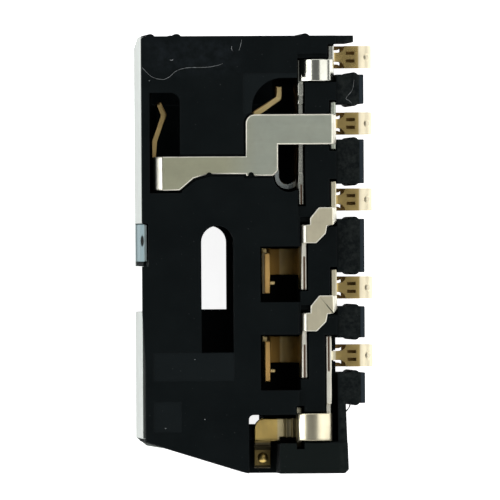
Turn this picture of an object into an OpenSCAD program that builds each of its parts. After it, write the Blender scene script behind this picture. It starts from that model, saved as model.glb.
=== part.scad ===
// Audio jack socket for a 3.5 mm plug: moulded housing, five folded spring contacts and a sheet shield.
// Millimetres. The bore axis is the Y axis, the mouth face lies at Y = 0 and the contacts face up.
// Depths are measured from the mouth face into the bore.

/* [Bore] */
// Diameter of the bore that guides the plug
bore_d = 3.6; // [3.55:0.01:3.7]
// Depth of the collar at the mouth
collar_len = 1.2; // [0.8:0.05:1.3]
// Diameter of the chamber behind the collar, where the free spring ends move
chamber_d = 3.96; // [3.94:0.01:4.04]
// Length of the chamber
chamber_len = 0.9; // [0.6:0.05:1]
// Depth of the cylindrical bore
bore_depth = 11.5; // [11.3:0.05:11.6]
// Length of the cone at the blind end
bore_cone = 1.2; // [1:0.05:1.3]
// Lead-in chamfer of the mouth
mouth_chamfer = 0.16; // [0.05:0.01:0.25]

/* [Housing] */
// Length of the housing
body_len = 13.56; // [13.4:0.02:14]
// Distance from the bore axis to the left edge
left_w = 2.33; // [2.3:0.01:2.4]
// Distance from the bore axis to the wall that carries the terminals
right_w = 3.71; // [3.6:0.01:3.9]
// Height of the top face over the bore axis
top_h = 2.15; // [2.12:0.01:2.3]
// Depth of the underside below the bore axis
base_h = 2.2; // [2.1:0.01:2.3]
// Slant of the closed end, from its left corner to its tail
end_slant = 1; // [0.6:0.05:1.2]
// Step out of the right wall behind the last guard block
heel_step = 0.25; // [0.15:0.01:0.35]
// Height of the flange over the shield
flange_h = 0.3; // [0.2:0.01:0.4]
// Width of the long slot through the top and bottom walls
slot_w = 1; // [0.8:0.05:1.2]
// Depth of the slot's round end
slot_at = 5.88; // [5.7:0.02:6]
// Length of the slot in the top wall
slot_len = 3.92; // [3.5:0.02:4]
// Length of the slot in the bottom wall
slot_under = 2.59; // [2.3:0.01:2.8]
// Depth of the shallow marks that the mould's inserts leave in the top face
mark_h = 0.03; // [0.01:0.01:0.06]

/* [Guard blocks] */
// Reach of the blocks beyond the right wall
block_reach = 0.87; // [0.75:0.01:1]
// Drop of the blocks' tops below the top face
block_drop = 0.23; // [0.1:0.01:0.4]
// Chamfer along the blocks' outer edge
block_chamfer = 0.14; // [0.05:0.01:0.2]
// Height of the crush ribs on the blocks and the mouth face
rib_h = 0.07; // [0.03:0.01:0.1]
// Width of the crush ribs
rib_w = 0.26; // [0.2:0.01:0.3]

/* [Contact sheet] */
// Thickness of the contact sheet
sheet_t = 0.18; // [0.16:0.01:0.2]
// Inside radius of the folds
fold_r = 0.1; // [0.08:0.01:0.12]
// Inside radius of the rise between a ring or tip floor and its inner upright
rise_r = 0.5; // [0.3:0.01:0.55]
// Slope of the sheet's flanks beside its crowns and left folds, in degrees
flank_lean = 38; // [32:1:42]
// Inside radius of the fold over the left sleeve spring
foot_r = 0.27; // [0.1:0.01:0.3]
// Width of the flank over the left sleeve spring
foot_flank = 0.26; // [0.2:0.01:0.3]
// Width of the flank of a ring or tip plate
wing_flank = 0.14; // [0.13:0.01:0.18]
// Outside radius of the sense contact's arch
sense_crown = 0.485; // [0.45:0.005:0.5]
// Outside radius of the switch contact's flatter arch
switch_crown = 0.76; // [0.7:0.01:0.8]
// Drop of the contact plates below the top face; a plate that stands proud of it has a negative drop
plate_drop = -0.05; // [-0.1:0.01:0.15]
// Distance from the bore axis to the inner uprights of the ring and tip contacts
wing_x = 2.61; // [2.55:0.01:2.65]
// Distance from the bore axis to the sense contact's long strip
left_x = 2.54; // [2.5:0.01:2.6]
// Distance from the bore axis to the free ring and tip pads
pad_free = 1.53; // [1.45:0.01:1.6]
// Height of the ring and tip pads
pad_h = 1.4; // [1:0.05:1.5]
// Length of the ring and tip pads
pad_len = 1.27; // [1:0.01:1.3]
// Height of the two sleeve springs
finger_h = 0.9; // [0.6:0.05:1]
// Distance from the bore axis to the fold of the left sleeve spring
finger_x = 1.95; // [1.9:0.01:2]

/* [Contact depths] */
// Middle of the sense terminal
sense_at = 0.66; // [0.6:0.01:0.75]
// Middle of the sleeve terminal
sleeve_at = 2.72; // [2.6:0.01:2.8]
// Middle of the ring pad
ring_depth = 7.36; // [7.3:0.01:7.42]
// Spacing of the ring and tip contacts
pole_pitch = 2.73; // [2.65:0.01:2.8]
// Distance of a ring or tip terminal in front of its pad
pole_lead = 2.28; // [2.2:0.01:2.35]
// Middle of the switch terminal
switch_at = 9.92; // [9.85:0.01:10]
// Distance of the switch arch in front of the closed end
arch_lead = 1.43; // [1.35:0.01:1.55]

/* [Terminals] */
// Width of a terminal spring
terminal_w = 0.69; // [0.55:0.01:0.7]
// Width of its neck
neck_w = 0.28; // [0.2:0.01:0.34]
// Height of the neck over the bore axis
neck_z = 0.9; // [0.8:0.01:1]
// Outside radius of its loop
loop_r = 0.44; // [0.4:0.01:0.5]
// Distance of the loop's tip from the right wall
loop_x = 1.19; // [1.09:0.01:1.3]
// Size of the two windows in a terminal
window_w = 0.1; // [0.06:0.01:0.14]
// Width of the two slits below the neck's edges
slit_w = 0.08; // [0.05:0.01:0.1]
// Angle of the contact bump over the loop's tip, in degrees
bump_lean = 50; // [0:5:60]

/* [Shield] */
// Thickness of the shield sheet
shield_t = 0.1; // [0.08:0.01:0.12]
// Length of the latch tab
latch_len = 1.15; // [1:0.01:1.2]
// Inward lean of the latch tab, in degrees
latch_lean = 4; // [4:0.5:9]
// Set-back of the side wall's lower front corner
shield_corner = 0.32; // [0.1:0.01:0.5]

/* [Fits] */
// Gap between a contact and the walls of its pocket
gap = 0.03; // [0.02:0.005:0.05]
// Gap around the long plate in its recess
plate_gap = 0.07; // [0.04:0.01:0.1]

/* [Hidden] */
$fn = 64;
eps = 0.01;
far = 30;
bore_r = bore_d / 2;
// Heights
plate_top = top_h - plate_drop;
ledge_z = plate_top - sheet_t;
fold_out = fold_r + sheet_t;
fold_z = plate_top - fold_out;
seat_z = neck_z + fold_r;
upright_top = fold_z - 0.03;
flange_z = top_h - flange_h;
block_top = top_h - block_drop;
wing_seat = 0.35;
wing_top = fold_z - 0.03;
floor_z = -pad_h / 2 - fold_r;
long_floor = -finger_h / 2 - 0.17;
arm_z = 0.6;
// Places across the bore
shield_x = left_w - shield_t;
block_x = right_w + block_reach;
rib_x = right_w + block_reach - 0.32;
loop_tip = right_w + loop_x;
sense_x = right_w - 0.05;
switch_x = right_w - 0.17;
inner_x = left_x - 0.08;
leg_x = 1.2;
leg_w = 0.52;
bay_x = leg_x - 0.25;
tail_x = bay_x + 0.02;
// Depths of the guard blocks, each between two terminal bays
bays = [sense_at, sleeve_at, ring_depth - pole_lead, ring_depth - pole_lead + pole_pitch, switch_at];
blocks = [[bays[0] + 0.55, bays[1] - 0.6], [bays[1] + 0.5, bays[2] - 0.5], [bays[2] + 0.6, bays[3] - 0.47],
  [bays[3] + 0.58, bays[4] - 0.56], [bays[4] + 0.52, bays[4] + 1.47]];
// Sense contact
sense_arch = [sense_at + 0.07, sense_at + 0.75];
sense_tail = bays[2] + 0.17;
hairpin_at = bays[2] - 0.74;
hairpin_x = left_x + sheet_t / 2 - 0.34;
// Long plate of the sleeve contact
sleeve_base = [sleeve_at - 0.68, sleeve_at + 0.82];
arm = [sleeve_at - 0.29, sleeve_at + 0.65];
riser = [0.9, 1.9];
cross = [arm[0] + 1.305, arm[0] + 1.85];
foot_w = 0.79;
foot_end = cross[0] + 1.04;
// Switch contact
switch_arch = [body_len - arch_lead - 0.43, body_len - arch_lead + 0.42];
switch_strip = [switch_arch[0] + 0.16, switch_arch[1] - 0.1];
leg_end = body_len - 0.06;
// Shield
latch_at = slot_at - 0.06;
latch_top = flange_z - 0.92;
latch_room = latch_top * sin(latch_lean) + gap;
notch = [latch_at + latch_len + 0.15, latch_at + latch_len + 1.56];
back_w = bore_r + 0.6;

// Box between two limits on each axis, with the Y limits given as depths
module slab(x, d, z) {
  translate([min(x), -max(d), min(z)])
    cube([abs(x[1] - x[0]), abs(d[1] - d[0]), abs(z[1] - z[0])]);
}

// Rectangle between two limits on each axis
module rect(x, y) {
  translate([min(x), min(y)])
    square([abs(x[1] - x[0]), abs(y[1] - y[0])]);
}

// Extrudes an X-Z profile between two depths
module along_y(d) {
  translate([0, -min(d), 0])
    rotate([90, 0, 0])
      linear_extrude(height = abs(d[1] - d[0]))
        children();
}

// Extrudes a plan between two heights
module along_z(z) {
  translate([0, 0, min(z)])
    linear_extrude(height = abs(z[1] - z[0]))
      children();
}

// Quarter of a folded sheet about a centre, in the quadrant that starts at angle a
module fold(c, a, r = fold_r) {
  translate(c)
    rotate(a)
      intersection() {
        difference() {
          circle(r = r + sheet_t);
          circle(r = r);
        }
        square(r + sheet_t + 1);
      }
}

// Cut that rounds the upper left corner of a plan at p, or the upper right one if s is negative
module corner_cut(p, r, s = 1) {
  translate(p)
    difference() {
      rect([-s, s * r], [-r, 1]);
      translate([s * r, -r])
        circle(r = r);
    }
}

// Half ring of sheet about a centre, opening against direction a
module half_ring(c, r, a) {
  translate(c)
    rotate(a)
      intersection() {
        difference() {
          circle(r = r);
          circle(r = r - sheet_t);
        }
        rect([0, r + 1], [-r - 1, r + 1]);
      }
}

// Bent strip along a path; each step is [straight run, turn, bend radius]
function ahead(h) = [cos(h), sin(h)];
function aside(h) = [-sin(h), cos(h)];
function bend_line(p, h, turn, r) =
  let (n = max(2, ceil(abs(turn) / 9)), s = sign(turn), c = p + s * r * aside(h))
  [for (k = [1:n]) [c - s * r * aside(h + turn * k / n), h + turn * k / n]];
function path(p, h, steps, i = 0) = i == len(steps) ? [[p, h]] :
  let (q = p + steps[i][0] * ahead(h), turn = steps[i][1],
       b = turn == 0 ? [[q, h]] : concat([[q, h]], bend_line(q, h, turn, steps[i][2])),
       last = b[len(b) - 1])
  concat([[p, h]], [for (k = [0:1:len(b) - 2]) b[k]], path(last[0], last[1], steps, i + 1));
module strip(p, h, steps, t = sheet_t) {
  line = path(p, h, steps);
  n = len(line);
  polygon(concat([for (k = [0:n - 1]) line[k][0] + t / 2 * aside(line[k][1])],
                 [for (k = [n - 1:-1:0]) line[k][0] - t / 2 * aside(line[k][1])]));
}

// Plan beside a neck that ends at x and flares with radius r, on the side s of its middle, grown by g
module beside_neck(x, r, s, g = 0) {
  half = terminal_w / 2;
  rect([x - 1, x], [s * (half - r + g), s * 2 * half]);
  translate([x, s * half])
    circle(r = r - g);
}

// Spring terminal that leaves an upright with its outer face at x: neck, loop, lower arm with two slits
// below the neck's edges, and contact bump
module terminal(x, d) {
  loop_c = loop_tip - loop_r;
  half = terminal_w / 2;
  flare = half - neck_w / 2;
  flare_x = loop_c - 0.62;
  upper = [neck_z - sheet_t - eps, seat_z + eps];
  lower = [neck_z - 2 * loop_r - eps, neck_z - 2 * loop_r + sheet_t + eps];
  difference() {
    along_y([d - half, d + half]) {
      fold([x + fold_r, seat_z], 180);
      rect([x + fold_r, loop_c], [neck_z - sheet_t, neck_z]);
      half_ring([loop_c, neck_z - loop_r], loop_r, 0);
      rect([x + fold_r, loop_c], [neck_z - 2 * loop_r, neck_z - 2 * loop_r + sheet_t]);
    }
    for (s = [-1, 1]) {
      translate([0, -d, 0]) {
        along_z(upper)
          beside_neck(flare_x, flare, s);
        along_z(lower)
          intersection() {
            difference() {
              beside_neck(flare_x, flare, s);
              beside_neck(flare_x, flare, s, slit_w);
            }
            rect([x + fold_r - eps, flare_x + 0.8 * (flare - slit_w)], [0, s * half]);
          }
      }
      slab([loop_c - 0.37, loop_c - 0.1], [d + s * 0.07, d + s * (0.07 + window_w)], upper);
    }
  }
  translate([loop_c, -d, neck_z - loop_r])
    rotate([0, -bump_lean, 0])
      translate([loop_r - 0.06, 0, 0])
        sphere(r = 0.13);
}

// Arch between two uprights with their outer faces at the X limits: a left flank, then a crown of
// outside radius r, limited by the room between the uprights, that falls to an angle at its right end
module arch(x, d, feet, r, fall) {
  b = 0.1;
  knee = b * tan(45 - flank_lean / 2);
  room = x[1] - x[0] - sheet_t - b * (1 - sin(fall)) - (knee + 0.001) * cos(flank_lean);
  c = min(r - sheet_t / 2, room / (sin(fall) + sin(flank_lean)));
  left = x[0] + sheet_t / 2;
  mid = x[1] - sheet_t / 2 - c * sin(fall) - b * (1 - sin(fall));
  base = plate_top - c - sheet_t / 2;
  flank = (mid - c * sin(flank_lean) - left) / cos(flank_lean);
  rise = base + c * cos(flank_lean) - flank * sin(flank_lean) - knee - feet[0];
  along_y(d)
    strip([left, feet[0]], 90,
          concat([[rise, flank_lean - 90, b], [flank - knee, -flank_lean - fall, c]],
                 fall < 90 ? [[0, fall - 90, b]] : [],
                 [[base + (c - b) * cos(fall) - feet[1], 0, 0]]));
}

// Left end of a plate with an upright's outer face at x: a bend of inside radius r, a flank of width w
// and the upright down to a foot
module flank_fold(x, w, foot, r) {
  a = r + sheet_t / 2;
  b = 0.12;
  hip = a * tan(flank_lean / 2);
  knee = b * tan(45 - flank_lean / 2);
  strip([x + sheet_t / 2 + w + 0.3, plate_top - sheet_t / 2], 180,
        [[0.3 - hip, flank_lean, a], [w / cos(flank_lean) - hip - knee, 90 - flank_lean, b],
         [plate_top - sheet_t / 2 - w * tan(flank_lean) - knee - foot, 0, 0]]);
}

// Plate at the top of the pockets with a flank of width w on its left, a fold on its right and two uprights,
// cut to the plan of its children
module folded_plate(x, d, feet, w, r = 0.03) {
  intersection() {
    along_y(d) {
      fold([x[1] - fold_out, fold_z], 0);
      flank_fold(x[0], w, feet[0], r);
      rect([x[0] + sheet_t / 2 + w + 0.2, x[1] - fold_out], [ledge_z, plate_top]);
      rect([x[1] - sheet_t, x[1]], [feet[1], fold_z]);
    }
    along_z([-base_h, top_h])
      children();
  }
}

module sense_contact() {
  upright = [left_x, left_x + sheet_t];
  color("gold") {
    terminal(sense_x, sense_at);
    slab([sense_x - sheet_t, sense_x], [sense_at - 0.36, sense_arch[1]], [seat_z, upright_top - 0.1]);
    arch([left_x + 0.05, sense_x], sense_arch, [seat_z + 0.35, seat_z], sense_crown, 90);
    slab(upright, [sense_arch[0], sense_arch[1] + 0.1], [long_floor, seat_z + 0.5]);
    slab(upright, [sense_arch[1] + gap, arm[0] - 0.57], [long_floor, wing_top]);
    slab(upright, [arm[0] - 0.6, arm[0] - 0.29], [long_floor, wing_top - 0.1]);
    slab(upright, [arm[0] - 0.3, hairpin_at], [long_floor, wing_top - 0.25]);
    slab(upright, [hairpin_at - 0.1, sense_tail], [finger_h / 2 + 0.2, wing_top - 0.15]);
    along_z([-finger_h / 2, finger_h / 2])
      strip([left_x + sheet_t / 2, 0.12 - hairpin_at], -90,
            [[0.12, -180, 0.34], [0.1, 22, 0.3], [1.7, -79, 0.14], [0.76, 57, 0.14], [0.3, 0, 0]]);
  }
}

// Plan of the sleeve contact's long plate, grown by g for its recess
module sleeve_plan(g = 0) {
  corner = 0.28 + g;
  difference() {
    union() {
      rect([riser[0] - g, right_w], [-arm[1] - g, -arm[0] + g]);
      rect([riser[0] - g, riser[1] + g], [-cross[1] - 0.06 - g, -arm[0] + g]);
      rect([-finger_x - g, riser[1]], [-cross[1] - g, -cross[0] + g]);
      rect([-finger_x - g, foot_w - finger_x + g], [-foot_end - g, -cross[0] + g]);
      polygon([[foot_w - finger_x, -foot_end - g], [foot_w - finger_x + 0.44 + g, -cross[1] - 0.125 - g],
               [foot_w - finger_x + 0.88 + g, -cross[1] - g], [foot_w - finger_x, -cross[1]]]);
    }
    corner_cut([riser[0] - g, -arm[0] + g], corner);
    polygon([[riser[1] + g - 0.2, -cross[1] - 0.1 - g], [riser[1] + g + 0.2, -cross[1] - 0.1 - g],
             [riser[1] + g + 0.2, -cross[1] + 0.3 - g]]);
    if (g == 0)
      for (x = [-0.24, 1.06])
        translate([x, -cross[1] - 0.03])
          circle(r = 0.09);
  }
}

module sleeve_contact() {
  color("silver") {
    terminal(right_w, sleeve_at);
    slab([right_w - sheet_t, right_w], sleeve_base, [seat_z, upright_top]);
    folded_plate([-finger_x, right_w], [arm[0] - 0.1, foot_end + 0.1], [-finger_h / 2, seat_z],
                 foot_flank, foot_r)
      sleeve_plan();
    along_z([-finger_h / 2, finger_h / 2])
      strip([sheet_t / 2 - finger_x, -cross[0] - 0.24], 90,
            [[0.68, -22, 0.3], [0.74, 50, 0.15], [0.34, 0, 0]]);
  }
}

// Ring or tip contact with the middle of its pad at depth d
module pole_contact(d) {
  terminal(right_w, d - pole_lead);
  slab([right_w - sheet_t, right_w], [d - pole_lead - 0.57, d - pole_lead + 0.66], [seat_z, upright_top]);
  folded_plate([wing_x, right_w], [d - pole_lead, d], [wing_seat, seat_z], wing_flank)
    translate([0, pole_lead - d])
      polygon([[wing_x, -0.8], [wing_x + 0.27, -0.77], [wing_x + 0.27, -0.57], [right_w - 0.56, -0.24],
               [right_w, -0.24], [right_w, -0.66], [right_w - 0.14, -0.8], [right_w - 0.3, -0.82],
               [right_w - 0.35, -1.06], [wing_x + 0.46, -1.35], [wing_x, -1.35]]);
  slab([wing_x, wing_x + sheet_t], [d - pole_lead + 0.77, d + 0.52], [wing_seat, wing_top]);
  along_y([d - 0.78, d + 0.06]) {
    rect([wing_x, wing_x + sheet_t], [floor_z + rise_r, wing_seat + 0.1]);
    fold([wing_x - rise_r, floor_z + rise_r], 270, rise_r);
    rect([pad_free + fold_out, wing_x - rise_r], [floor_z - sheet_t, floor_z]);
    fold([pad_free + fold_out, floor_z + fold_r], 180);
  }
  slab([pad_free, pad_free + sheet_t], [d - pad_len / 2, d + pad_len / 2], [-pad_h / 2, pad_h / 2]);
  // Small ear on the back of the pad
  slab([pad_free + sheet_t / 2, pad_free + sheet_t + 0.19], [d + 0.23, d + 0.37], [0, 0.2]);
}

module ring_contact() {
  color("gold")
    pole_contact(ring_depth);
}

module tip_contact() {
  color("gold")
    pole_contact(ring_depth + pole_pitch);
}

module switch_contact() {
  middle = (switch_strip[0] + switch_strip[1]) / 2;
  upright = [switch_x - sheet_t, switch_x];
  wing = [switch_arch[0] - 0.2, switch_arch[1] + 0.22];
  color("gold") {
    terminal(switch_x, switch_at);
    slab(upright, [switch_at - 0.62, switch_arch[0] - 0.28], [seat_z, upright_top - 0.05]);
    slab(upright, [switch_arch[0] - 0.3, switch_arch[1]], [seat_z, upright_top - 0.3]);
    arch([inner_x, switch_x], switch_arch, [arm_z + 0.4, seat_z], switch_crown, 32);
    slab([inner_x, inner_x + sheet_t], wing, [arm_z + 0.4, arm_z + 0.75]);
    along_y(switch_strip)
      strip([inner_x + sheet_t / 2, 2 * arm_z], -90,
            [[arm_z - 0.19 + sheet_t / 2, -90, 0.19], [0.02, 25, 0.12], [0.04, -50, 0.12],
             [0.04, 25, 0.12], [0.2, 0, 0]]);
    along_z([arm_z - sheet_t, arm_z])
      difference() {
        rect([leg_x, leg_x + 0.8], [-switch_strip[1] - 0.11, -switch_strip[0]]);
        corner_cut([leg_x, -switch_strip[0]], 0.3);
      }
    translate([leg_x, 0, 0])
      rotate([90, 0, 90])
        linear_extrude(height = leg_w)
          strip([-middle - 0.25, arm_z - sheet_t / 2], 180,
                [[0.1, 70, 0.12], [0.08, -70, 0.12], [leg_end - middle - 0.7, 0, 0]]);
    translate([leg_x + 0.27, 0.42 - leg_end, arm_z - 0.35])
      sphere(r = 0.2);
  }
}

module shield() {
  color("gainsboro") {
    difference() {
      slab([-left_w, -shield_x], [eps, body_len - end_slant - 0.1], [-base_h - shield_t, flange_z - gap]);
      slab([-far, 0], [latch_at - gap, notch[1]], [-base_h, far]);
      slab([-far, 0], notch, [-far, far]);
      translate([-far, 0, 0])
        rotate([90, 0, 90])
          linear_extrude(height = far)
            polygon([[1, 1], [0, 0], [-shield_corner, -base_h - shield_t], [-shield_corner, -far],
                     [1, -far]]);
      translate([-far, -bore_depth + 0.8, -base_h])
        rotate([45, 0, 0])
          translate([0, -far, -far])
            cube(far);
    }
    along_y([latch_at, latch_at + latch_len])
      strip([shield_t / 2 - left_w, -base_h - shield_t], 90,
            [[base_h + shield_t + 1, -latch_lean, 0.5], [latch_top, 0, 0]], shield_t);
    difference() {
      along_z([-base_h - shield_t, -base_h])
        polygon([[-left_w, -shield_corner], [shield_corner - left_w, -eps], [back_w, -eps],
                 [back_w, -bore_depth], [leg_x - 0.3, -bore_depth], [leg_x - 0.3, -body_len + 0.36],
                 [-left_w + 0.33, -body_len + end_slant - 0.16], [-left_w, -body_len + end_slant + 0.1]]);
      slab([-slot_w / 2 - gap, slot_w / 2 + gap], [slot_at - gap, slot_at + slot_under + gap], [-far, 0]);
      slab([-far, 0.28 - left_w], notch, [-far, 0]);
    }
  }
}

// Crush rib along Z on a face at y that looks along s
module rib(x, y, s, z) {
  r = (rib_w * rib_w / 4 + rib_h * rib_h) / (2 * rib_h);
  translate([x, y + s * (rib_h - r), -base_h])
    cylinder(r = r, h = z + base_h);
}

module guard_block(d) {
  along_y(d)
    polygon([[right_w - eps, -base_h], [block_x, -base_h], [block_x, block_top - block_chamfer],
             [block_x - block_chamfer, block_top], [right_w - eps, block_top]]);
  rib(rib_x, -d[0], 1, block_top);
  rib(rib_x, -d[1], -1, block_top);
}

module housing_solid() {
  inset = 0.08;
  heel_x = right_w + heel_step;
  heel_y = 0.1 - blocks[4][1];
  along_z([-base_h, top_h])
    polygon([[-left_w, -inset], [inset - left_w, 0], [right_w, 0], [right_w, heel_y], [heel_x, heel_y],
             [heel_x + inset, -body_len + 0.12], [heel_x - 0.04, -body_len],
             [tail_x, -body_len], [inset - left_w, -body_len + end_slant],
             [inset - left_w, -bore_depth + 1.3], [-left_w, -bore_depth + 2.9]]);
  slab([right_w - eps, rib_x], [0, 0.22], [-base_h, block_top]);
  for (d = blocks)
    guard_block(d);
  for (x = [0.28 - left_w, 1.1 - left_w, left_x + 0.21])
    rib(x, 0, 1, top_h);
}

// Room for an upright with its outer face at x, the neck below it and the lower arm
module terminal_pocket(x, d, span) {
  inner = x - sheet_t - gap;
  half = terminal_w / 2 + gap;
  neck = neck_w / 2 + gap;
  slab([inner, right_w + eps], [span[0] - gap, span[1] + gap], [seat_z, far]);
  slab([inner, right_w + eps], [d - neck, d + neck], [neck_z - sheet_t - gap, seat_z + eps]);
  slab([x + fold_r - gap, right_w + 1], [d - half, d + half], [neck_z - 2 * loop_r - gap, neck_z + gap]);
}

// Room for the inside of a fold that drops from a plate between two X limits
module fold_relief(x, d) {
  slab(x, [d[0] - gap, d[1] + gap], [fold_z - gap, far]);
}

module pole_pocket(d) {
  lead = d - pole_lead;
  under = floor_z - sheet_t - gap;
  terminal_pocket(right_w, lead, [lead - 0.61, lead + 0.8]);
  fold_relief([right_w - fold_out - gap, right_w + eps], [lead + 0.24, lead + 0.82]);
  fold_relief([wing_x - gap, wing_x + fold_out + gap], [lead + 0.57, lead + 1.35]);
  slab([wing_x - gap, wing_x + sheet_t + gap], [lead + 0.73 - gap, d + 0.52 + gap], [wing_seat, far]);
  slab([pad_free - 0.2, wing_x + sheet_t + gap], [d - 0.78 - gap, d + 0.06 + gap], [under, far]);
  slab([pad_free - 0.2, wing_x - gap], [d - 0.83, d + 0.89], [under, far]);
}

module bore() {
  rotate([90, 0, 0]) {
    cylinder(r = bore_r, h = bore_depth);
    translate([0, 0, -1])
      cylinder(r = bore_r + mouth_chamfer, h = 1);
    cylinder(r1 = bore_r + mouth_chamfer, r2 = bore_r, h = mouth_chamfer);
    translate([0, 0, collar_len])
      cylinder(d = chamber_d, h = chamber_len);
    translate([0, 0, bore_depth - eps])
      cylinder(r1 = bore_r, r2 = slot_w / 2, h = bore_cone);
  }
}

module slot() {
  round_at = slot_at + slot_w / 2;
  slab([-slot_w / 2, slot_w / 2], [round_at, slot_at + slot_len], [0, far]);
  slab([-slot_w / 2, slot_w / 2], [round_at, slot_at + slot_under], [-far, 0]);
  translate([0, -round_at, -far])
    cylinder(d = slot_w, h = 2 * far);
}

module shield_seat() {
  slab([-far, -shield_x], [-1, latch_at - gap], [-far, flange_z]);
  slab([-far, -shield_x], [latch_at - gap, notch[0]], [-far, far]);
  slab([-far, latch_room - shield_x], [latch_at - gap, notch[0]], [0.8, far]);
  slab([-far, 0.28 - left_w], notch, [-far, flange_z]);
  slab([-far, -shield_x], [notch[1], far], [-far, flange_z]);
}

module switch_pocket() {
  under = arm_z - sheet_t - 0.1;
  opening = [switch_strip[0] - 0.12, switch_strip[1] + 0.17];
  wing = [switch_arch[0] - 0.2 - gap, switch_arch[1] + 0.22 + gap];
  terminal_pocket(switch_x, switch_at, [switch_at - 0.62, switch_arch[1]]);
  slab([inner_x - gap, inner_x + sheet_t + gap], wing, [arm_z + 0.4, far]);
  slab([inner_x - gap, switch_x + gap], [switch_arch[0] - gap, switch_arch[1] + gap], [seat_z + 0.3, far]);
  along_z([under, far])
    difference() {
      rect([bay_x, inner_x + sheet_t + gap], [-opening[1], -opening[0]]);
      corner_cut([bay_x, -opening[0]], 0.14);
    }
  slab([bay_x, leg_x + leg_w + 0.18], [opening[1] - 0.1, far], [0, far]);
  along_z([-far, far])
    difference() {
      rect([bay_x, leg_x + 0.3], [-opening[0] - 0.32, -opening[0]]);
      corner_cut([bay_x, -opening[0]], 0.14);
    }
}

// Shallow marks in the top face: the step in front of the right spring and two insert marks
module marks() {
  floor = top_h - mark_h;
  slab([riser[0] - 0.08, left_x], [sense_at + 0.5, arm[0]], [floor, far]);
  slab([0.33 - left_w, slot_w / 2], [slot_at + slot_len, slot_at + slot_len + 0.88], [floor, far]);
  slab([0.33 - left_w, 1.18 - left_w], [body_len - 2.24, body_len - 1.3], [floor, far]);
}

// Plan of a spring's window with one rounded corner
module window_plan(x, d, r, s) {
  difference() {
    rect(x, [-d[1], -d[0]]);
    corner_cut([s > 0 ? x[0] : x[1], -d[0]], r, s);
  }
}

module housing() {
  color("dimgray")
    difference() {
      housing_solid();
      bore();
      slot();
      shield_seat();
      // Ledge of the contact plates along the terminal side
      slab([left_x - gap, far], [sense_at - 0.1, body_len - 0.95], [ledge_z, far]);
      // Recess of the long plate
      along_z([ledge_z, far])
        sleeve_plan(plate_gap);
      // Windows of the two sleeve springs
      along_z([-finger_h / 2 - 0.1, far])
        window_plan([-finger_x - 0.13, -finger_x + 0.82], [arm[0] - 0.68, foot_end + 0.08], 0.3, -1);
      along_z([long_floor, far])
        window_plan([riser[0] + 0.2, left_x + eps], [arm[0] - 1.12, cross[1] - 0.05], 0.95, 1);
      // Room of the hairpin
      along_z([long_floor, far]) {
        rect([riser[1] - 0.15, left_x + eps], [-hairpin_at, 0.1 - cross[1]]);
        translate([hairpin_x - 0.04, -hairpin_at])
          circle(r = hairpin_x - 0.04 - riser[1] + 0.15);
      }
      // Pockets of the contacts
      slab([left_x - gap, left_x + sheet_t + gap], [sense_arch[0] - gap, sense_tail + gap],
           [long_floor, far]);
      slab([left_x - gap, right_w + eps], [sense_arch[0] - gap, sense_arch[1] + gap], [seat_z + 0.3, far]);
      terminal_pocket(sense_x, sense_at, [sense_at - 0.36, sense_arch[1]]);
      terminal_pocket(right_w, sleeve_at, sleeve_base);
      fold_relief([right_w - fold_out - gap, right_w + eps], arm);
      marks();
      pole_pocket(ring_depth);
      pole_pocket(ring_depth + pole_pitch);
      switch_pocket();
    }
}

housing();
shield();
sense_contact();
sleeve_contact();
ring_contact();
tip_contact();
switch_contact();
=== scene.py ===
import math
import random

import bmesh
import bpy
from mathutils import Matrix, Vector


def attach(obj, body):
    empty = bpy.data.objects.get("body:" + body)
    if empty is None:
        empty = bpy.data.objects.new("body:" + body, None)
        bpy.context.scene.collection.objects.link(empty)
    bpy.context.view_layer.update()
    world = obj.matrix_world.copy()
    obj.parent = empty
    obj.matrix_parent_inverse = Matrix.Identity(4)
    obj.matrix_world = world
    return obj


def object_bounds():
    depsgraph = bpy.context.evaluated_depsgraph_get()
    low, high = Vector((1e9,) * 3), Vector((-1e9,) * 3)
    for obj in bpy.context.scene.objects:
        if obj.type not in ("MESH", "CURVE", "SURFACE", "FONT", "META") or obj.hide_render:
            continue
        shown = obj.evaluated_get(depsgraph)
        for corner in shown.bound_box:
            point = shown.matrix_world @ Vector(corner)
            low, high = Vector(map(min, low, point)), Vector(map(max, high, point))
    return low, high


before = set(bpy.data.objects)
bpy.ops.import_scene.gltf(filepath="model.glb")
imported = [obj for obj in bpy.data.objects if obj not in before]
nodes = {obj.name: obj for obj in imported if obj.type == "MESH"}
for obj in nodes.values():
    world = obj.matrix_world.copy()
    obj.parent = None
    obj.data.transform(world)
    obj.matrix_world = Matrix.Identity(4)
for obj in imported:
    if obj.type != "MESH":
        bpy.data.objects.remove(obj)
cad_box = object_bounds()
MM = 0.001
random.seed(7)
scene = bpy.context.scene
scene.view_settings.view_transform = "Standard"


# Camera, from the places of the housing's corners in the picture
TILT = math.radians(3.25)
ROLL = 0.0058
LENS = 1200.0
SENSOR = 36.0
VIEW_W = 15.538 * MM
AIM = Vector((1.13, -6.63, 0)) * MM
CLIP_NEAR, CLIP_FAR = 0.01, 10.0


def make_camera():
    level = Vector((math.cos(TILT), 0, math.sin(TILT)))
    ahead = Vector((0, 1, 0))
    back = level.cross(ahead)
    right = level * math.cos(ROLL) - ahead * math.sin(ROLL)
    up = ahead * math.cos(ROLL) + level * math.sin(ROLL)
    cam = bpy.data.cameras.new("camera")
    cam.sensor_width = SENSOR
    cam.lens = LENS
    cam.clip_start, cam.clip_end = CLIP_NEAR, CLIP_FAR
    obj = bpy.data.objects.new("camera", cam)
    turn = Matrix((right, up, back)).transposed().to_4x4()
    distance = VIEW_W * LENS / SENSOR
    obj.matrix_world = Matrix.Translation(AIM + back * distance) @ turn
    scene.collection.objects.link(obj)
    scene.camera = obj


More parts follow.
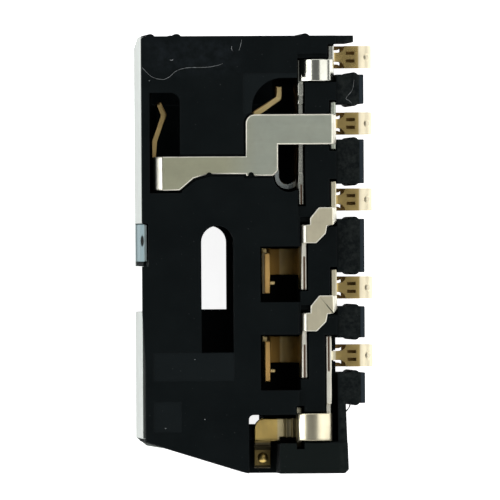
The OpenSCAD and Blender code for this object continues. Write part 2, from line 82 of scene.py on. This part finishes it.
# Adds a node to a tree and sets its properties
def add_node(tree, kind, **values):
    n = tree.nodes.new(kind)
    for key, value in values.items():
        setattr(n, key, value)
    return n


# Material in the making, with the place in mm and the normal at hand
class Shader:
    def __init__(self, name):
        self.mat = bpy.data.materials.new(name)
        self.mat.use_nodes = True
        self.tree = self.mat.node_tree
        self.bsdf = self.tree.nodes["Principled BSDF"]
        self.pos = self.place_in_mm()
        self.x, self.y, self.z = self.axes(self.pos)
        self.normal = self.node("ShaderNodeNewGeometry").outputs["Normal"]
        self.nx, _, self.nz = self.axes(self.normal)

    def node(self, kind, **values):
        return add_node(self.tree, kind, **values)

    def link(self, out, socket):
        if hasattr(out, "is_output"):
            self.tree.links.new(out, socket)
        else:
            socket.default_value = out

    def math(self, op, a, b, clamp=False):
        n = self.node("ShaderNodeMath", operation=op, use_clamp=clamp)
        self.link(a, n.inputs[0])
        self.link(b, n.inputs[1])
        return n.outputs[0]

    def add(self, a, b):
        return self.math("ADD", a, b)

    def product(self, *values):
        total = values[0]
        for value in values[1:]:
            total = self.math("MULTIPLY", total, value)
        return total

    def place_in_mm(self):
        coord = self.node("ShaderNodeTexCoord")
        n = self.node("ShaderNodeVectorMath", operation="SCALE")
        self.link(coord.outputs["Object"], n.inputs[0])
        n.inputs["Scale"].default_value = 1000.0
        return n.outputs[0]

    def axes(self, vector):
        n = self.node("ShaderNodeSeparateXYZ")
        self.link(vector, n.inputs[0])
        return n.outputs

    def stretch(self, scale):
        n = self.node("ShaderNodeVectorMath", operation="MULTIPLY")
        self.link(self.pos, n.inputs[0])
        n.inputs[1].default_value = scale
        return n.outputs[0]

    def noise(self, scale, detail=3.0, vector=None, rough=0.55):
        n = self.node("ShaderNodeTexNoise")
        self.link(self.pos if vector is None else vector, n.inputs["Vector"])
        n.inputs["Scale"].default_value = scale
        n.inputs["Detail"].default_value = detail
        n.inputs["Roughness"].default_value = rough
        return n.outputs["Fac"]

    def mix(self, fac, a, b):
        n = self.node("ShaderNodeMix", data_type="RGBA")
        self.link(fac, n.inputs[0])
        for socket, value in ((n.inputs[6], a), (n.inputs[7], b)):
            self.link((*value, 1) if isinstance(value, tuple) else value, socket)
        return n.outputs[2]

    def layer(self, base, mask, amount, colour):
        return self.mix(self.product(mask, amount), base, colour)

    def blend(self, fac, a, b):
        n = self.node("ShaderNodeMix", data_type="FLOAT")
        for socket, value in zip(n.inputs[:1] + n.inputs[2:4], (fac, a, b)):
            self.link(value, socket)
        return n.outputs[0]

    def range(self, value, low, high, to_low=0.0, to_high=1.0):
        n = self.node("ShaderNodeMapRange", clamp=True)
        self.link(value, n.inputs[0])
        for k, v in enumerate((low, high, to_low, to_high)):
            n.inputs[k + 1].default_value = v
        return n.outputs[0]

    def fall(self, value, low, high):
        return self.range(value, low, high, 1.0, 0.0)

    def band(self, value, low, high, soft=0.02):
        rise = self.range(value, low - soft, low + soft)
        return self.product(rise, self.fall(value, high - soft, high + soft))

    def rounded(self, radius):
        n = self.node("ShaderNodeBevel", samples=6)
        n.inputs["Radius"].default_value = radius * MM
        return n.outputs[0]

    def edge(self, rounded, gain):
        n = self.node("ShaderNodeVectorMath", operation="DOT_PRODUCT")
        self.link(rounded, n.inputs[0])
        self.link(self.normal, n.inputs[1])
        bend = self.math("SUBTRACT", 1.0, n.outputs["Value"])
        return self.math("MULTIPLY", bend, gain, clamp=True)

    def bump(self, height, strength, distance, normal=None):
        n = self.node("ShaderNodeBump")
        self.link(height, n.inputs["Height"])
        n.inputs["Strength"].default_value = strength
        n.inputs["Distance"].default_value = distance * MM
        if normal is not None:
            self.link(normal, n.inputs["Normal"])
        return n.outputs[0]

    def put(self, **sockets):
        for name, value in sockets.items():
            self.link(value, self.bsdf.inputs[name.replace("_", " ")])


# Colours of the plastic and of what lies on it, with painted lighter tones for the guard blocks'
# tops and for the slopes that face the right-hand light
BLACK = (0.0016, 0.0034, 0.0040)
WORN_BLACK = (0.0032, 0.0054, 0.0060)
MARK_GREY = (0.014, 0.019, 0.021)
HAZE_GREY = (0.016, 0.021, 0.026)
BLOCK_DUST_AND_SHEEN = (0.034, 0.040, 0.037)
HEEL_GREY = (0.0085, 0.0125, 0.011)
SLOPE_SHEEN_BLUE = (0.016, 0.024, 0.031)
SPECK_GREY = (0.05, 0.056, 0.056)
RUBBED = (0.024, 0.032, 0.038)

# Places on the housing, in mm
MARK_LEVEL = (2.112, 2.128)
CORNER_X, CORNER_Y = (-2.2, 0.6), (-1.1, -0.05)
BLOCK_START = (3.72, 3.8)
HEEL_X, HEEL_Y = (1.7, 1.9), (-12.62, -12.5)
SLOPE_SHEEN_START = (4.3, 4.36)

PLASTIC_SPECULAR = 0.07
GRAIN_DEPTH = 0.01


# Black moulded plastic with moulding marks, dust, rubbed edges and fine specks, a painted
# lighter tone on the guard blocks' tops and a painted sheen on the slopes that face the
# right-hand light
def plastic():
    s = Shader("housing_plastic")
    clouds = s.noise(0.9, 4.0)
    grain = s.noise(26.0, 3.0)
    fine = s.noise(75.0, 2.0)
    soft = s.rounded(0.04)
    up = s.range(s.nz, 0.7, 0.95)
    base = s.mix(s.range(clouds, 0.3, 0.7), BLACK, WORN_BLACK)
    mark = s.product(up, s.band(s.z, *MARK_LEVEL, 0.006))
    base = s.layer(base, mark, 0.3, MARK_GREY)
    corner = s.product(up, s.band(s.x, *CORNER_X, 0.35), s.band(s.y, *CORNER_Y, 0.3))
    haze = s.product(corner, s.range(s.noise(3.2, 5.0, rough=0.65), 0.4, 0.72))
    base = s.layer(base, haze, 0.5, HAZE_GREY)
    # Dust, partly a painted lighter tone: the upward faces of the guard blocks get a patchy
    # lighter grey
    block_dust_and_sheen = s.range(s.noise(5.0, 5.0, rough=0.7), 0.4, 0.75)
    base = s.layer(base, s.product(up, s.range(s.x, *BLOCK_START), block_dust_and_sheen), 0.5, BLOCK_DUST_AND_SHEEN)
    heel = s.product(up, s.range(s.x, *HEEL_X), s.fall(s.y, *HEEL_Y))
    base = s.layer(base, heel, 0.5, HEEL_GREY)
    # Painted sheen: faces that slope towards the right-hand light, on the blocks' right side,
    # get a lighter bluish colour in place of its reflection
    lean = s.product(s.band(s.nx, 0.35, 0.95, 0.05), s.band(s.nz, 0.3, 0.95, 0.05))
    base = s.mix(s.product(lean, s.range(s.x, *SLOPE_SHEEN_START)), base, SLOPE_SHEEN_BLUE)
    specks = s.product(up, s.range(s.noise(13.0, 2.0, rough=0.4), 0.745, 0.765))
    base = s.layer(base, specks, 0.5, SPECK_GREY)
    rub = s.product(s.edge(soft, 2.0), s.range(s.noise(3.0, 4.0), 0.35, 0.7, 0.15, 1.0))
    base = s.layer(base, rub, 0.5, RUBBED)
    top = s.add(s.range(clouds, 0.25, 0.75, 0.5, 0.62), s.range(grain, 0.3, 0.7, -0.05, 0.05))
    dull = s.blend(s.range(s.nz, 0.3, 0.6), 0.95, top)
    height = s.add(s.product(grain, 0.7), s.product(fine, 0.3))
    s.put(Base_Color=base, Roughness=dull, Normal=s.bump(height, 0.3, GRAIN_DEPTH, soft),
          Specular_IOR_Level=PLASTIC_SPECULAR)
    return s.mat


TARNISH_BROWN = (0.16, 0.12, 0.07)
TARNISH = 0.1
STREAK_BUMP = 0.04
# Dark dots show on the plates where the roughness varies below this
LEAST_ROUGH = 0.28


# Plated sheet: a base plating, zones of other platings and of painted highlight and shade,
# tarnish, rolling streaks and fine grain
def sheet_metal(name, plating, rough, streak, zones):
    s = Shader(name)
    streaks = s.noise(1.0, 2.5, s.stretch(streak))
    clouds = s.noise(2.3, 2.5)
    grain = s.noise(30.0, 1.0)
    base, dull, glance = plating, rough, (1.0, 1.0, 1.0)
    for place, colour, roughness, *tint in zones:
        mask = place(s)
        base = s.mix(mask, base, colour)
        dull = s.blend(mask, dull, roughness)
        if tint:
            glance = s.mix(mask, glance, tint[0])
    blots = s.range(s.noise(3.0, 2.0, rough=0.5), 0.5, 0.8)
    stain = s.product(blots, s.range(clouds, 0.3, 0.7, 0.4, 1.0))
    lines = s.product(s.range(streaks, 0.3, 0.75), 0.12)
    shade = s.add(s.product(stain, TARNISH), lines)
    shade = s.add(shade, s.range(clouds, 0.3, 0.7, 0.0, 0.1))
    base = s.mix(shade, base, TARNISH_BROWN)
    uneven = s.add(s.range(streaks, 0.25, 0.75, -0.04, 0.04),
                   s.range(grain, 0.3, 0.7, -0.02, 0.02))
    dull = s.add(s.add(dull, uneven), s.product(stain, 0.3 * TARNISH))
    dull = s.math("MAXIMUM", dull, min(rough, LEAST_ROUGH))
    height = s.add(s.product(streaks, 0.9), s.product(grain, 0.1))
    s.put(Base_Color=base, Roughness=dull, Normal=s.bump(height, STREAK_BUMP, GRAIN_DEPTH),
          Metallic=1.0)
    if not isinstance(glance, tuple):
        s.put(Specular_Tint=glance)
    return s.mat


# Colours of the platings, and of the painted highlights and shade on them
SILVER = (0.78, 0.79, 0.71)
NICKEL = (0.60, 0.65, 0.55)
WARM_NICKEL = (0.62, 0.63, 0.45)
# Painted highlight: a pale cream for rims and upright tops that would catch the side lights
RIM_HIGHLIGHT = (1.0, 0.98, 0.86)
GOLD = (0.98, 0.76, 0.36)
PALE_GOLD = (0.90, 0.84, 0.62)
PAD_GOLD = (0.98, 0.62, 0.22)
# Painted shade: a dark gold for the pole contacts' floor, low in the housing
FLOOR_SHADE_GOLD = (0.34, 0.20, 0.05)
# Painted highlight: a paler gold that lifts the rises and ridges deep in their pockets
RISE_HIGHLIGHT_GOLD = (1.0, 0.86, 0.50)
LEG_GOLD = (0.86, 0.62, 0.20)
# Painted shade: darker tones of the terminals' gold for the neck and the lower arm, which
# reflect dark surroundings
NECK_SHADE_GOLD = (0.50, 0.37, 0.14)
ARM_SHADE_GOLD = (0.34, 0.21, 0.07)
SPRING_GOLD = (0.72, 0.52, 0.22)
# Painted shade: a brown for the sides of the low springs, so that only their tops look lit
SPRING_SIDE_SHADE = (0.25, 0.14, 0.04)
# Painted highlight: a pale cream of the terminals' gold for the loop, which catches the
# right-hand light
LOOP_HIGHLIGHT_GOLD = (0.98, 0.90, 0.68)
COPPER = (0.10, 0.042, 0.02)
HAIRPIN = (0.42, 0.47, 0.47)
SHADE = (0.04, 0.034, 0.018)
STEEL = (0.41, 0.45, 0.43)
LATCH_STEEL = (0.22, 0.28, 0.29)
# Painted shade: the dark steel of the dent's oval
DENT_SHADE_STEEL = (0.04, 0.05, 0.05)
LATCH_TINT = (0.55, 0.68, 0.72)
# Painted shadow: the dark glancing tint of the latch's gap line
GAP_SHADE_TINT = (0.26, 0.31, 0.33)
# Painted shade: the dark glancing tint of the dent's oval
DENT_SHADE_TINT = (0.05, 0.06, 0.06)

# Density of the rolling streaks along each axis
SHIELD_STREAK = (5.0, 0.7, 5.0)
SLEEVE_STREAK = (0.8, 4.0, 2.0)
SENSE_STREAK = (3.0, 0.9, 3.0)
STRIP_STREAK = (5.0, 0.5, 3.0)

# Places on the shield, in mm
LATCH_Y = (-7.0, -5.8)
LATCH_START_Z = (-2.0, -1.6)
LATCH_GAP_SHADE_Z = (-1.9, -0.9)
DENT_Y, DENT_Z = -6.33, 1.5
DENT_HALF_W, DENT_HALF_L = 0.17, 0.42

# Places on the contacts, in mm; a pair at the edge of a zone is where it starts and ends to fade
NECK_START = (3.70, 3.74)
LOOP_START = (4.46, 4.50)
ARM_TOP = (0.25, 0.35)
PLATE_LEVEL = (1.95, 2.0)
SPRING_TOP = (1.2, 1.3)
WARM_X, WARM_FADE = 0.75, 0.5
SLEEVE_SPRING_Z = 1.3
SENSE_SPRING_X = 2.45
HAIRPIN_END, HAIRPIN_Y = (2.45, 2.48), (-4.85, -4.05)
SENSE_CORE_X, SENSE_CORE_Y = 2.63, (-5.25, -4.6)
POLE_DEPTHS = {"ring_contact": 7.36, "tip_contact": 10.09}
POLE_DEEP_Z = 0.9
POLE_FLOOR_X, POLE_FLOOR_TOP = (1.72, 2.12), (-0.5, -0.4)
POLE_RISE_X, POLE_RISE_TOP = (2.12, 2.62), (0.5, 0.6)
PAD_EDGE_END, PAD_EDGE_START = (1.78, 1.82), (0.55, 0.62)
POLE_UPRIGHT_X, POLE_CORE_HALF = 2.70, 0.52
SWITCH_LEG_X = 2.4
RIDGES_X, RIDGES_START = (1.92, 2.36), (-12.6, -12.5)
LEG_END_Y, LEG_PLAIN_TOP = (-12.62, -12.46), (0.36, 0.39)
LEG_BUMP_Y = (-13.30, -12.86)
SWITCH_UPRIGHT_X, SWITCH_CORE_Y = 3.45, (-10.4, -9.3)
UPRIGHT_HALF, UPRIGHT_Z = 0.1, (1.55, 1.915)
CORE_HALF = 0.03


# Zones: each gives a mask that is 1 inside its place
def neck(s):
    return s.range(s.x, *NECK_START)


def lower_arm(s):
    return s.product(neck(s), s.fall(s.z, *ARM_TOP))


def loop(s):
    return s.range(s.x, *LOOP_START)


# Painted highlight on the rims of the top plates, where their faces tilt away from straight up
def top_rim_highlight(s):
    return s.product(s.fall(s.nz, 0.95, 0.995), s.range(s.z, *PLATE_LEVEL))


# Painted shade on the faces of the low springs that tilt away from straight up
def deep_rim_shade(s):
    return s.product(s.fall(s.nz, 0.6, 0.9), s.fall(s.z, *SPRING_TOP))


# Painted highlight on the switch strip's ridges
def ridge_highlights(s):
    return s.product(s.band(s.x, *RIDGES_X, 0.03), s.range(s.y, *RIDGES_START))


def hairpin(s):
    return s.product(s.fall(s.x, *HAIRPIN_END), s.band(s.y, *HAIRPIN_Y, 0.1))


def pad_edge(s):
    return s.product(s.fall(s.x, *PAD_EDGE_END), s.range(s.z, *PAD_EDGE_START))


# Painted shade on the pole contact's floor, low in its pocket
def pole_floor_shade(s):
    return s.product(s.band(s.x, *POLE_FLOOR_X, 0.05), s.fall(s.z, *POLE_FLOOR_TOP))


# Painted highlight on the pole contact's rise, deep in its pocket
def pole_rise_highlight(s):
    return s.product(s.band(s.x, *POLE_RISE_X, 0.05), s.fall(s.z, *POLE_RISE_TOP))


# Painted shadow: the switch leg's lower end, beside its bump, darkened where it lies low
def leg_end(s):
    plain = s.fall(s.z, *LEG_PLAIN_TOP)
    beside = s.math("SUBTRACT", 1.0, s.band(s.y, *LEG_BUMP_Y))
    return s.product(s.fall(s.y, *LEG_END_Y), s.math("MAXIMUM", plain, beside))


def latch(s):
    return s.product(s.band(s.y, *LATCH_Y), s.range(s.z, *LATCH_START_Z))


# Painted shadow: a dark band on the latch tab where the gap beside it is dark
def latch_gap_shade(s):
    return s.product(s.band(s.y, *LATCH_Y), s.band(s.z, *LATCH_GAP_SHADE_Z, 0.1))


# Painted shade: a dark oval on the shield where a dent is shaded
def latch_dent_shade(s):
    across = s.math("DIVIDE", s.math("SUBTRACT", s.y, DENT_Y), DENT_HALF_W)
    along = s.math("DIVIDE", s.math("SUBTRACT", s.z, DENT_Z), DENT_HALF_L)
    ring = s.add(s.product(across, across), s.product(along, along))
    return s.fall(ring, 0.6, 1.3)


def inner(limit, soft=0.03):
    return lambda s: s.fall(s.x, limit - soft, limit + soft)


def deep(limit):
    return lambda s: s.fall(s.z, limit - 0.05, limit + 0.05)


# Painted highlight on the upward faces atop an upright strip, which sits deep in its pocket
def upright_highlight(x):
    return lambda s: s.product(s.range(s.nz, 0.2, 0.5), s.band(s.z, *UPRIGHT_Z),
                               s.band(s.x, x - UPRIGHT_HALF, x + UPRIGHT_HALF))


def core(x, back, front):
    return lambda s: s.product(s.range(s.nz, 0.8, 0.95), s.band(s.y, back, front),
                               s.band(s.x, x - CORE_HALF, x + CORE_HALF, 0.012))


# Platings of the pieces, with zones of painted highlight and shade; a zone has its place,
# colour, roughness and at times a glancing tint
# The terminals carry one gold plating in three tones: painted shade on the neck and the lower
# arm, and a painted highlight on the loop
TERMINAL = [(neck, NECK_SHADE_GOLD, 0.26), (lower_arm, ARM_SHADE_GOLD, 0.32), (loop, LOOP_HIGHLIGHT_GOLD, 0.5)]


def shield_steel():
    return sheet_metal("shield_steel", STEEL, 0.4, SHIELD_STREAK, [
        (latch, LATCH_STEEL, 0.35, LATCH_TINT),
        (latch_gap_shade, LATCH_STEEL, 0.4, GAP_SHADE_TINT),
        (latch_dent_shade, DENT_SHADE_STEEL, 0.4, DENT_SHADE_TINT)])


def sleeve_plating():
    return sheet_metal("contact_nickel", NICKEL, 0.3, SLEEVE_STREAK, [
        (inner(WARM_X, WARM_FADE), WARM_NICKEL, 0.3),
        (top_rim_highlight, RIM_HIGHLIGHT, 0.5),
        (deep(SLEEVE_SPRING_Z), SPRING_GOLD, 0.36),
        (deep_rim_shade, SPRING_SIDE_SHADE, 0.4),
        *TERMINAL])


def sense_plating():
    return sheet_metal("sense_plating", SILVER, 0.18, SENSE_STREAK, [
        (inner(SENSE_SPRING_X), GOLD, 0.36),
        (deep_rim_shade, SPRING_SIDE_SHADE, 0.4),
        (hairpin, HAIRPIN, 0.3),
        (core(SENSE_CORE_X, *SENSE_CORE_Y), COPPER, 0.5),
        *TERMINAL])


def pole_plating(name, depth):
    back, front = -depth - POLE_CORE_HALF, -depth + POLE_CORE_HALF
    return sheet_metal(name + "_plating", PALE_GOLD, 0.3, STRIP_STREAK, [
        (top_rim_highlight, RIM_HIGHLIGHT, 0.5),
        (deep(POLE_DEEP_Z), GOLD, 0.3),
        (pole_floor_shade, FLOOR_SHADE_GOLD, 0.4),
        (pole_rise_highlight, RISE_HIGHLIGHT_GOLD, 0.6),
        (pad_edge, PAD_GOLD, 0.5),
        (upright_highlight(POLE_UPRIGHT_X), RIM_HIGHLIGHT, 0.45),
        (core(POLE_UPRIGHT_X, back, front), COPPER, 0.5),
        *TERMINAL])


def switch_plating():
    return sheet_metal("switch_plating", PALE_GOLD, 0.3, STRIP_STREAK, [
        (inner(SWITCH_LEG_X), LEG_GOLD, 0.34),
        (ridge_highlights, RISE_HIGHLIGHT_GOLD, 0.4),
        (leg_end, SHADE, 0.5),
        (upright_highlight(SWITCH_UPRIGHT_X), RIM_HIGHLIGHT, 0.45),
        (core(SWITCH_UPRIGHT_X, *SWITCH_CORE_Y), COPPER, 0.5),
        *TERMINAL])


# White ground that the part lies on, and the lights around it, in metres
MIDDLE = (0.001, -0.0066)
FLOOR_SIZE = 1.2
FLOOR_DROP = 0.00002
FLOOR_GREY = (0.82, 0.82, 0.82, 1)
FLOOR_GLOW = 0.90
WORLD_COLOUR = (0.97, 0.99, 1.0, 1)
WORLD_GLOW = 0.15
BOX_FAR = 0.5


def make_stage():
    low = cad_box[0].z - FLOOR_DROP
    bpy.ops.mesh.primitive_plane_add(size=FLOOR_SIZE, location=(*MIDDLE, low))
    floor = bpy.context.object
    floor.name = "floor"
    s = Shader("floor_paper")
    path = s.node("ShaderNodeLightPath")
    seen = s.add(path.outputs["Is Camera Ray"], path.outputs["Is Glossy Ray"])
    seen = s.math("ADD", seen, path.outputs["Is Transmission Ray"], clamp=True)
    s.put(Base_Color=FLOOR_GREY, Roughness=0.9, Emission_Color=(1, 1, 1, 1),
          Emission_Strength=s.product(seen, FLOOR_GLOW))
    floor.data.materials.append(s.mat)


# Soft box at a lean from straight up; turn 0 leans to +X and 90 to +Y
def softbox(name, lean, spread, length, radiance, turn=0.0, colour=(1, 1, 1)):
    width = 2 * BOX_FAR * math.tan(math.radians(spread / 2))
    light = bpy.data.lights.new(name, "AREA")
    light.shape = "RECTANGLE"
    light.size, light.size_y = width, length
    light.energy = radiance * math.pi * width * length
    light.color = colour
    obj = bpy.data.objects.new(name, light)
    a, t = math.radians(lean), math.radians(turn)
    back = Vector((math.sin(a) * math.cos(t), math.sin(a) * math.sin(t), math.cos(a)))
    along = Vector((-math.sin(t), math.cos(t), 0))
    box_turn = Matrix((along.cross(back), along, back)).transposed().to_4x4()
    obj.matrix_world = Matrix.Translation(Vector((*MIDDLE, 0)) + back * BOX_FAR) @ box_turn
    obj.visible_camera = False
    scene.collection.objects.link(obj)


def make_light():
    world = bpy.data.worlds.new("studio")
    scene.world = world
    world.use_nodes = True
    ground = world.node_tree.nodes["Background"]
    ground.inputs["Color"].default_value = WORLD_COLOUR
    ground.inputs["Strength"].default_value = WORLD_GLOW
    softbox("right_box", lean=39.5, spread=61, length=0.7, radiance=1.3, colour=(1, 0.99, 0.97))
    softbox("left_box", lean=-71.5, spread=33, length=0.7, radiance=3.0)
    softbox("front_box", lean=66, spread=34, length=0.8, radiance=1.2, turn=90)
    softbox("rear_box", lean=66, spread=34, length=0.8, radiance=1.2, turn=-90)


# Edges: what counts as sharp, tiny or flat, where rounding stops, and its widths in mm
SHARP = math.radians(32)
SHORTEST = 0.03 * MM
WELD = 0.004 * MM
FLAT = math.radians(0.6)
ARMS_START = 3.3 * MM
EVERY_LEVEL = -10.0
UPPER_LEVEL = 1.15
BEVEL_STEPS = 3
HOUSING_ROUND = 0.025
SHIELD_ROUND = 0.02
PLATE_ROUND = 0.04
STRIP_ROUND = 0.03


# Smooth shading up to the sharp edges, and a weight on each edge that the bevel rounds
def smooth_group(name, lowest):
    group = bpy.data.node_groups.new(name, "GeometryNodeTree")
    link = group.links.new

    def node(kind, **values):
        return add_node(group, kind, **values)

    def compare(operation, out, limit):
        n = node("FunctionNodeCompare", data_type="FLOAT", operation=operation)
        link(out, n.inputs[0])
        n.inputs[1].default_value = limit
        return n.outputs[0]

    def logic(operation, a, b):
        n = node("FunctionNodeBooleanMath", operation=operation)
        link(a, n.inputs[0])
        link(b, n.inputs[1])
        return n.outputs[0]

    for side in ("INPUT", "OUTPUT"):
        group.interface.new_socket("Geometry", in_out=side, socket_type="NodeSocketGeometry")
    start, end = node("NodeGroupInput"), node("NodeGroupOutput")
    angle = node("GeometryNodeInputMeshEdgeAngle")
    ends = node("GeometryNodeInputMeshEdgeVertices")
    span = node("ShaderNodeVectorMath", operation="DISTANCE")
    link(ends.outputs["Position 1"], span.inputs[0])
    link(ends.outputs["Position 2"], span.inputs[1])
    place = node("ShaderNodeSeparateXYZ")
    link(node("GeometryNodeInputPosition").outputs[0], place.inputs[0])

    # The rounded edges are convex and not tiny; below the lowest level, the arms stay sharp
    convex = compare("GREATER_THAN", angle.outputs["Signed Angle"], SHARP)
    long = compare("GREATER_THAN", span.outputs["Value"], SHORTEST)
    high = compare("GREATER_THAN", place.outputs["Z"], lowest * MM)
    inside = compare("LESS_THAN", place.outputs["X"], ARMS_START)
    chosen = logic("AND", logic("OR", high, inside), logic("AND", convex, long))

    faces = node("GeometryNodeSetShadeSmooth")
    link(start.outputs[0], faces.inputs["Geometry"])
    edges = node("GeometryNodeSetShadeSmooth", domain="EDGE")
    edges.inputs["Shade Smooth"].default_value = False
    sharp = compare("GREATER_THAN", angle.outputs["Unsigned Angle"], SHARP)
    link(faces.outputs[0], edges.inputs["Geometry"])
    link(sharp, edges.inputs["Selection"])
    store = node("GeometryNodeStoreNamedAttribute", data_type="FLOAT", domain="EDGE")
    store.inputs["Name"].default_value = "bevel_weight_edge"
    link(edges.outputs[0], store.inputs["Geometry"])
    link(chosen, store.inputs["Value"])
    link(store.outputs[0], end.inputs[0])
    return group


# Rounds the weighted edges of a node and shades its rounds smoothly
def soften(obj, width, group):
    weld = obj.modifiers.new("weld", "WELD")
    weld.merge_threshold = WELD
    flat = obj.modifiers.new("flat", "DECIMATE")
    flat.decimate_type = "DISSOLVE"
    flat.angle_limit = FLAT
    obj.modifiers.new("smooth", "NODES").node_group = group
    bevel = obj.modifiers.new("bevel", "BEVEL")
    bevel.width = width * MM
    bevel.segments = BEVEL_STEPS
    bevel.limit_method = "WEIGHT"
    bevel.use_clamp_overlap = False
    normals = obj.modifiers.new("normals", "WEIGHTED_NORMAL")
    normals.keep_sharp = True


def dress(name, material, width, group):
    obj = nodes[name]
    obj.data.materials.clear()
    obj.data.materials.append(material)
    soften(obj, width, group)


# Dirt: hairs, fibres and specks
PALE = (0.26, 0.28, 0.29)
PALE_SHADE = (0.10, 0.11, 0.11)
DARK = (0.05, 0.04, 0.035)
DARK_SHADE = (0.02, 0.018, 0.016)
PATH_STEPS = 8
THREAD_SIDES = 6
TIP_SHARE, BULGE_SHARE = 0.35, 0.65
BULGE_POWER = 0.3
BLUNT = 0.08
THINNEST, UNEVEN = 0.8, 0.4


def dirt(name, light, dark):
    s = Shader(name)
    s.put(Base_Color=s.mix(s.range(s.noise(9.0, 3.0), 0.35, 0.65), light, dark),
          Roughness=s.range(s.noise(30.0), 0.3, 0.7, 0.5, 0.8))
    return s.mat


# Smooth curve through the points
def smooth_path(points):
    pts = [Vector(p) for p in points]
    pts = [2 * pts[0] - pts[1]] + pts + [2 * pts[-1] - pts[-2]]
    line = []
    for a, b, c, d in zip(pts, pts[1:], pts[2:], pts[3:]):
        for k in range(PATH_STEPS):
            t = k / PATH_STEPS
            line.append(0.5 * (2 * b + (c - a) * t + (2 * a - 5 * b + 4 * c - d) * t ** 2
                               + (3 * b - a - 3 * c + d) * t ** 3))
    return line + [pts[-2]]


# Thread of uneven thickness with thin ends, at one level
def thread(name, level, radius, material, points):
    line = smooth_path([(x, y, level) for x, y in points])
    last = len(line) - 1
    bm = bmesh.new()
    rings = []
    for k, p in enumerate(line):
        ahead = (line[min(k + 1, last)] - line[max(k - 1, 0)]).normalized()
        side = ahead.cross(Vector((0, 0, 1))).normalized()
        lift = side.cross(ahead)
        bulge = math.sin(math.pi * min(1, max(BLUNT, k / last))) ** BULGE_POWER
        r = radius * (TIP_SHARE + BULGE_SHARE * bulge)
        r *= THINNEST + UNEVEN * random.random()
        ring = []
        for j in range(THREAD_SIDES):
            a = 2 * math.pi * j / THREAD_SIDES
            spot = p + side * r * math.cos(a) + lift * r * math.sin(a)
            ring.append(bm.verts.new(spot * MM))
        rings.append(ring)
    for a, b in zip(rings, rings[1:]):
        for j in range(THREAD_SIDES):
            after = (j + 1) % THREAD_SIDES
            bm.faces.new((a[j], a[after], b[after], b[j]))
    bm.faces.new(rings[0][::-1])
    bm.faces.new(rings[-1])
    bmesh.ops.recalc_face_normals(bm, faces=bm.faces)
    for f in bm.faces:
        f.smooth = True
    mesh = bpy.data.meshes.new(name)
    bm.to_mesh(mesh)
    bm.free()
    obj = bpy.data.objects.new(name, mesh)
    mesh.materials.append(material)
    scene.collection.objects.link(obj)
    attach(obj, "root")


make_camera()
make_stage()
make_light()
whole = smooth_group("soft_edges", EVERY_LEVEL)
upper = smooth_group("soft_upper_edges", UPPER_LEVEL)

dress("housing", plastic(), HOUSING_ROUND, whole)
dress("shield", shield_steel(), SHIELD_ROUND, whole)
dress("sleeve_contact", sleeve_plating(), PLATE_ROUND, upper)
dress("sense_contact", sense_plating(), STRIP_ROUND, upper)
for name, depth in POLE_DEPTHS.items():
    dress(name, pole_plating(name, depth), STRIP_ROUND, upper)
dress("switch_contact", switch_plating(), STRIP_ROUND, upper)

pale = dirt("pale_fibre", PALE, PALE_SHADE)
dark = dirt("dark_hair", DARK, DARK_SHADE)
# Name, level, radius, material and places of each thread, in mm
for row in (
    ("fibre_long", 2.157, 0.0075, pale, [
        (-2.30, -0.97), (-2.01, -1.25), (-1.67, -1.34), (-1.45, -1.25), (-1.23, -1.07),
        (-0.89, -0.98), (-0.33, -0.97), (0.04, -0.91), (0.20, -0.85)]),
    ("fibre_short_1", 2.156, 0.006, pale, [(0.48, -0.32), (0.47, -0.39), (0.50, -0.46)]),
    ("fibre_short_2", 2.156, 0.007, pale, [(0.79, -0.12), (0.75, -0.30), (0.70, -0.46)]),
    ("fibre_tuft", 2.16, 0.015, pale, [(-1.44, -0.73), (-1.39, -0.75), (-1.34, -0.72)]),
    ("speck_front", 2.16, 0.012, pale, [(-2.10, -1.37), (-2.08, -1.38), (-2.06, -1.36)]),
    ("speck_middle", 2.156, 0.010, pale, [(-0.74, -10.00), (-0.72, -10.01), (-0.70, -10.00)]),
    ("speck_rear_1", 2.156, 0.010, pale, [(-0.44, -11.86), (-0.42, -11.87), (-0.40, -11.86)]),
    ("speck_rear_2", 2.156, 0.010, pale, [(-1.66, -12.13), (-1.64, -12.14), (-1.62, -12.13)]),
    ("block_hair", 1.926, 0.007, pale, [
        (4.28, -1.38), (4.22, -1.69), (4.03, -1.94), (4.12, -2.02), (4.20, -2.10)]),
    ("heel_hair", 0.0, 0.018, dark, [
        (4.24, -11.39), (4.18, -11.55), (4.08, -11.67), (3.96, -11.78)]),
):
    thread(*row)
